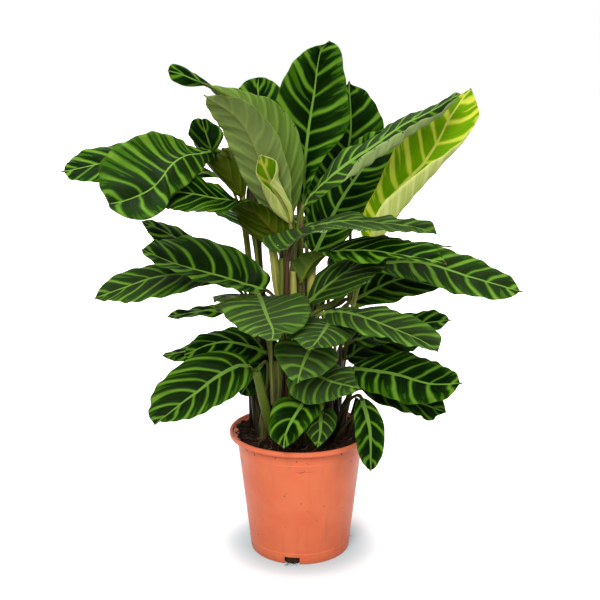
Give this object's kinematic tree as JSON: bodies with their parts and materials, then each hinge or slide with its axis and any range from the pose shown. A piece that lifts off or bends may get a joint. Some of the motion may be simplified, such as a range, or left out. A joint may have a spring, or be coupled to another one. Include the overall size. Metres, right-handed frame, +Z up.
{
  "type": "potted calathea",
  "caption": "Bushy house plant with broad light-and-dark striped leaves on thin stalks, in a tapered orange nursery pot with soil.",
  "frame": {"origin": "centre of the pot's base, on the surface that it stands on", "axes": "+Z up along the pot's axis, -Y towards a viewer in front of the plant, +X to the viewer's right"},
  "size_m": [0.644, 0.495, 0.735],
  "materials": {
    "pot_plastic": "satin terracotta-orange injection-moulded plastic with fine scuffs",
    "soil": "dark moist potting peat with fibres",
    "leaf_mature": "satin, dark green with light green stripes from the midrib, grey-green underneath",
    "leaf_young": "satin, bright yellow-green with pale stripes",
    "stalk_green": "satin yellow-green with red-brown lengths and dry brown sheaths"
  },
  "bodies": {
    "root": {"pot": "pot_plastic", "soil": "soil", "shoot_left": "stalk_green", "shoot_left_rear": "stalk_green", "shoot_centre_left": "stalk_green", "shoot_centre": "stalk_green", "shoot_front": "stalk_green", "shoot_right": "stalk_green", "shoot_right_rear": "stalk_green", "shoot_rear": "stalk_green", "leaf_crown_front": "leaf_mature", "leaf_crown_rear_left": "leaf_mature", "leaf_crown_rear_right": "leaf_mature", "leaf_olive_front": "leaf_mature", "leaf_olive_rear": "leaf_mature", "leaf_spear": "leaf_young", "leaf_small_left": "leaf_mature", "leaf_big_left": "leaf_mature", "leaf_far_left": "leaf_mature", "leaf_left_under": "leaf_mature", "leaf_right_upper": "leaf_mature", "leaf_long_roll": "leaf_mature", "leaf_bright_right": "leaf_young", "leaf_dark_behind": "leaf_mature", "leaf_right_mid": "leaf_mature", "leaf_rightmost": "leaf_mature", "leaf_mid_right": "leaf_mature", "leaf_under_rightmost": "leaf_mature", "leaf_mid_right_lower": "leaf_mature", "leaf_thin_right": "leaf_mature", "leaf_small_right": "leaf_mature", "leaf_dark_right": "leaf_mature", "leaf_big_right": "leaf_mature", "leaf_under_big_right": "leaf_mature", "leaf_hang_front": "leaf_mature", "leaf_hang_rear": "leaf_mature", "leaf_centre_front": "leaf_mature", "leaf_behind_centre": "leaf_mature", "leaf_centre_right": "leaf_mature", "leaf_centre_low": "leaf_mature", "leaf_centre_lower": "leaf_mature", "leaf_front_low": "leaf_mature", "leaf_front_small": "leaf_mature", "leaf_thin_left": "leaf_mature", "leaf_left_tier_top": "leaf_mature", "leaf_left_tier_middle": "leaf_mature", "leaf_left_tier_low": "leaf_mature", "leaf_low_left": "leaf_mature", "leaf_behind_low_left": "leaf_mature", "leaf_tip_left": "leaf_mature", "leaf_under_low_left": "leaf_mature", "leaf_rear_high": "leaf_mature", "leaf_rear_left_high": "leaf_mature", "leaf_rear_left_low": "leaf_mature", "leaf_rear_low": "leaf_mature", "leaf_rear_right_high": "leaf_mature", "leaf_rear_right_low": "leaf_mature", "leaf_rear_foot": "leaf_mature"}
  },
  "joints": []
}
